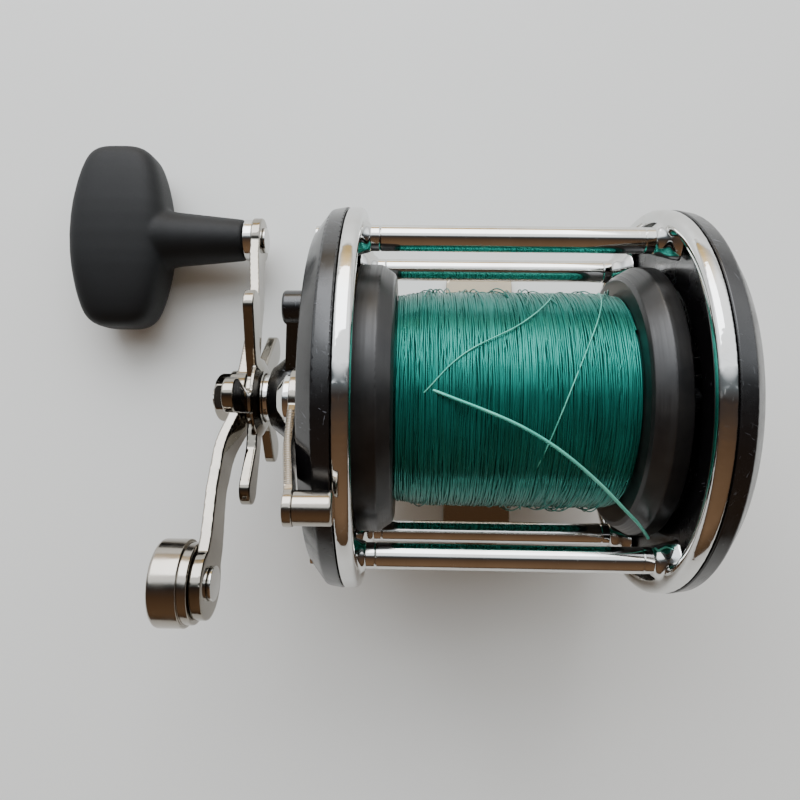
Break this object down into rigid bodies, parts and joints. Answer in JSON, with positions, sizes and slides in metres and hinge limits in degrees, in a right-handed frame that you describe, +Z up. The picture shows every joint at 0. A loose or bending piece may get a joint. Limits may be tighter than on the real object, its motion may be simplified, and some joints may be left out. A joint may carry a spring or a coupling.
{
  "type": "conventional fishing reel",
  "caption": "Multiplying fishing reel: line spool between round side plates, geared crank with star drag, free-spool lever and click, on a flat foot for a rod seat.",
  "frame": {"origin": "centre of the reel foot underside", "axes": "+X along the spool axis towards the tail plate, handle at -X; +Z up from the foot; +Y towards the side where the handle knob rests"},
  "size_m": [0.1798, 0.1362, 0.1065],
  "materials": {
    "chromed_brass": "polished chrome plate",
    "moulded_phenolic": "black moulded, polished",
    "spool_phenolic": "black moulded, satin",
    "turned_brass": "machined",
    "ground_steel": "ground",
    "fibre": "pressed fibre",
    "monofilament": "extruded nylon",
    "grip_rubber": "moulded, matt"
  },
  "bodies": {
    "frame": {"handle_side_ring": "chromed_brass", "tail_side_ring": "chromed_brass", "upper_rear_post": "chromed_brass", "upper_front_post": "chromed_brass", "lower_front_post": "chromed_brass", "lower_rear_post": "chromed_brass", "stand_post_rear": "chromed_brass", "stand_post_front": "chromed_brass", "handle_side_plate": "moulded_phenolic", "tail_side_plate": "moulded_phenolic", "handle_side_screws": "chromed_brass", "tail_side_screws": "chromed_brass", "reel_foot": "chromed_brass", "foot_screws": "chromed_brass", "bridge_plate": "turned_brass", "bridge_screws": "ground_steel", "gear_stud": "ground_steel", "yoke_guide_pins": "ground_steel", "yoke_springs": "ground_steel", "dog_pin": "ground_steel", "hump_bushing": "turned_brass", "handle_side_bearing": "turned_brass", "click_spring": "ground_steel"},
    "crank": {"gear_sleeve": "turned_brass", "anti_reverse_ratchet": "ground_steel", "main_gear": "turned_brass", "fibre_drag_washer": "fibre", "steel_drag_washer": "ground_steel", "drag_pressure_washer": "ground_steel", "drag_spacer": "chromed_brass", "handle_arm": "chromed_brass", "handle_nut": "chromed_brass", "nut_lock_screw": "chromed_brass", "counterweight": "chromed_brass", "counterweight_rivet": "chromed_brass", "knob_spindle": "chromed_brass", "knob_washer": "chromed_brass"},
    "star": {"star_wheel": "chromed_brass"},
    "knob": {"handle_knob": "grip_rubber", "knob_sleeve": "turned_brass"},
    "spool": {"spool_body": "spool_phenolic", "spool_shaft": "ground_steel", "click_ratchet": "ground_steel", "wound_line": "monofilament", "line_end": "monofilament"},
    "yoke": {"pinion_yoke": "turned_brass"},
    "pinion": {"pinion_gear": "ground_steel"},
    "dog": {"anti_reverse_dog": "ground_steel"},
    "lever": {"freespool_cam": "ground_steel", "freespool_lever": "chromed_brass", "lever_cap": "chromed_brass", "thumb_roller": "chromed_brass"},
    "end_cap": {"bearing_cap": "moulded_phenolic", "tail_side_bearing": "turned_brass"},
    "click": {"click_button": "moulded_phenolic", "click_tongue": "ground_steel"}
  },
  "joints": [
    {"name": "crank_turn", "type": "hinge", "parent": "frame", "child": "crank", "pos_m": [-0.06, 0, 0.039], "axis": [1, 0, 0], "continuous": true},
    {"name": "star_turn", "type": "hinge", "parent": "crank", "child": "star", "pos_m": [-0.0655, 0, 0.039], "axis": [1, 0, 0], "range_deg": [-150, 60]},
    {"name": "knob_turn", "type": "hinge", "parent": "crank", "child": "knob", "pos_m": [-0.1, 0.05131, 0.01195], "axis": [1, 0, 0], "continuous": true},
    {"name": "spool_turn", "type": "hinge", "parent": "frame", "child": "spool", "pos_m": [0, 0, 0.057], "axis": [1, 0, 0], "continuous": true},
    {"name": "yoke_slide", "type": "slide", "parent": "frame", "child": "yoke", "axis": [-1, 0, 0], "range_m": [0, 0.002], "deforming": ["yoke_springs"]},
    {"name": "pinion_turn", "type": "hinge", "parent": "yoke", "child": "pinion", "pos_m": [-0.043, 0, 0.057], "axis": [1, 0, 0], "continuous": true},
    {"name": "dog_swing", "type": "hinge", "parent": "frame", "child": "dog", "pos_m": [-0.0398, 0.0165, 0.048], "axis": [-1, 0, 0], "range_deg": [0, 20]},
    {"name": "lever_swing", "type": "hinge", "parent": "frame", "child": "lever", "pos_m": [-0.045, -0.0013, 0.083], "axis": [-1, 0, 0], "range_deg": [0, 70]},
    {"name": "cap_turn", "type": "hinge", "parent": "frame", "child": "end_cap", "pos_m": [0.046, 0, 0.057], "axis": [1, 0, 0], "range_deg": [-30, 90]},
    {"name": "click_slide", "type": "slide", "parent": "frame", "child": "click", "axis": [0, 0, -1], "range_m": [0, 0.0035]}
  ],
  "couplings": [
    {"joint": "spool_turn", "follows": "crank_turn", "ratio": -3},
    {"joint": "pinion_turn", "follows": "crank_turn", "ratio": -3},
    {"joint": "yoke_slide", "follows": "lever_swing", "m_per_rad": 0.001637}
  ]
}
